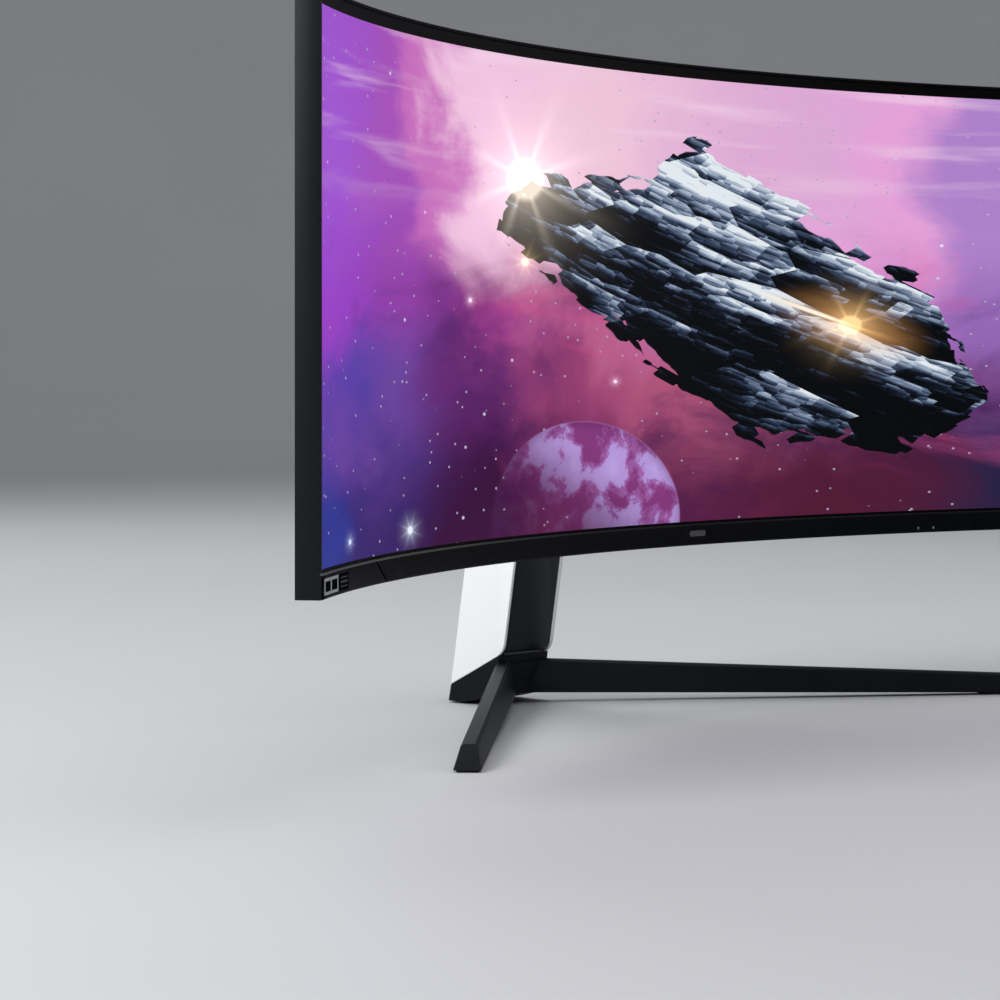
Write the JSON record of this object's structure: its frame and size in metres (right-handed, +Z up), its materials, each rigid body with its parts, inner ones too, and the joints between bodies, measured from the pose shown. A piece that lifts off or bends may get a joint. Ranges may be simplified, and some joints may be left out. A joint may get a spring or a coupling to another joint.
{
  "type": "computer monitor",
  "caption": "Wide curved desktop monitor with a tilting, turning and height-adjustable head on a leaning neck and two splayed legs.",
  "frame": {"origin": "on the desk, at the centre of the monitor's bounding box in plan", "axes": "+X to the viewer's right along the screen's width, +Y away from the viewer, +Z up"},
  "size_m": [1.1516, 0.4074, 0.497],
  "materials": {
    "display_glass": "anti-glare glass over a lit picture",
    "optical_film": "milky diffusing film",
    "white_moulding": "moulded, reflective white",
    "circuit_board": "solder mask",
    "zinc_steel": "zinc-coated pressed sheet",
    "black_moulding": "fine-textured black moulding",
    "smoked_lens": "dark gloss window",
    "lamp_lens": "small clear lens",
    "badge_foil": "blank satin foil plates",
    "white_shell": "glossy white moulding",
    "frosted_ring": "frosted light guide",
    "grille_plastic": "moulded grille",
    "socket_shell": "plated socket shells",
    "black_fitting": "moulded fittings",
    "knob_plastic": "textured knob",
    "black_steel": "black powder coat",
    "bright_steel": "plain steel",
    "shroud_plastic": "glossy white moulding",
    "bronze_bush": "sintered bush",
    "cast_hub": "die cast, dark fine texture",
    "leg_paint": "die cast, dark fine texture",
    "foot_rubber": "soft rubber",
    "column_aluminium": "extruded",
    "neck_black": "satin black moulding",
    "gloss_white": "glossy white moulding"
  },
  "bodies": {
    "stand": {"hub": "cast_hub", "leg_left": "leg_paint", "leg_right": "leg_paint", "rubber_feet": "foot_rubber", "stand_bolts": "bright_steel", "hub_bottom_cover": "neck_black", "column": "column_aluminium", "neck_front_cover": "neck_black", "neck_side_plate_left": "gloss_white", "neck_side_plate_right": "gloss_white", "neck_rear_cover": "neck_black", "neck_top_cap": "neck_black", "lift_spring_strip": "bright_steel"},
    "carriage": {"lift_carriage": "black_steel", "glide_shoes": "black_fitting", "lift_spring_coil": "bright_steel", "swivel_bush": "bronze_bush"},
    "head": {"swivel_yoke": "black_steel", "swivel_pin": "bright_steel", "tilt_shaft": "bright_steel", "friction_washers": "bright_steel"},
    "joystick_press": {"joystick_cradle": "black_fitting"},
    "joystick_ring": {"joystick_gimbal_ring": "black_fitting"},
    "joystick": {"joystick_knob": "knob_plastic"},
    "panel": {"lcd_panel": "display_glass", "diffuser_films": "optical_film", "diffuser_spacer_frame": "white_moulding", "backlight_board": "circuit_board", "main_board": "circuit_board", "power_board": "circuit_board", "backlight_driver_board": "circuit_board", "timing_board": "circuit_board", "joystick_board": "circuit_board", "backlight_chassis": "zinc_steel", "main_board_shield": "zinc_steel", "port_plate": "zinc_steel", "mount_carrier": "zinc_steel", "frame_top": "black_moulding", "frame_left": "black_moulding", "frame_right": "black_moulding", "chin_bezel": "black_moulding", "chin_corner_left": "black_moulding", "chin_corner_right": "black_moulding", "sensor_window": "smoked_lens", "status_lamp_lenses": "lamp_lens", "badge_plates": "badge_foil", "rear_cover_centre": "white_shell", "rear_cover_left": "white_shell", "rear_cover_right": "white_shell", "light_ring": "frosted_ring", "vent_grilles": "grille_plastic", "hdmi_sockets": "socket_shell", "displayport_socket": "socket_shell", "usb_sockets": "socket_shell", "audio_socket": "black_fitting", "power_inlet": "black_fitting", "bracket_plate": "black_steel", "tilt_bracket": "black_steel", "bracket_screws": "bright_steel", "hinge_shroud": "shroud_plastic"}
  },
  "joints": [
    {"name": "height", "type": "slide", "parent": "stand", "child": "carriage", "axis": [0, -0.1606, 0.987], "range_m": [-0.08, 0.04], "deforming": ["lift_spring_strip"]},
    {"name": "swivel", "type": "hinge", "parent": "carriage", "child": "head", "pos_m": [0, 0.084, 0.3152], "axis": [0, 0, 1], "range_deg": [-15, 15]},
    {"name": "tilt", "type": "hinge", "parent": "head", "child": "panel", "pos_m": [0, 0.0615, 0.3152], "axis": [-1, 0, 0], "range_deg": [-5, 15]},
    {"name": "joystick_click", "type": "slide", "parent": "panel", "child": "joystick_press", "axis": [0, 0, 1], "range_m": [0, 0.0012], "stiffness_N_per_m": 800},
    {"name": "joystick_fore_aft", "type": "hinge", "parent": "joystick_press", "child": "joystick_ring", "pos_m": [0, -0.0035, 0.157], "axis": [1, 0, 0], "range_deg": [-8, 8], "stiffness_Nm_per_rad": 0.05},
    {"name": "joystick_left_right", "type": "hinge", "parent": "joystick_ring", "child": "joystick", "pos_m": [0, -0.0035, 0.157], "axis": [0, 1, 0], "range_deg": [-8, 8], "stiffness_Nm_per_rad": 0.05}
  ]
}
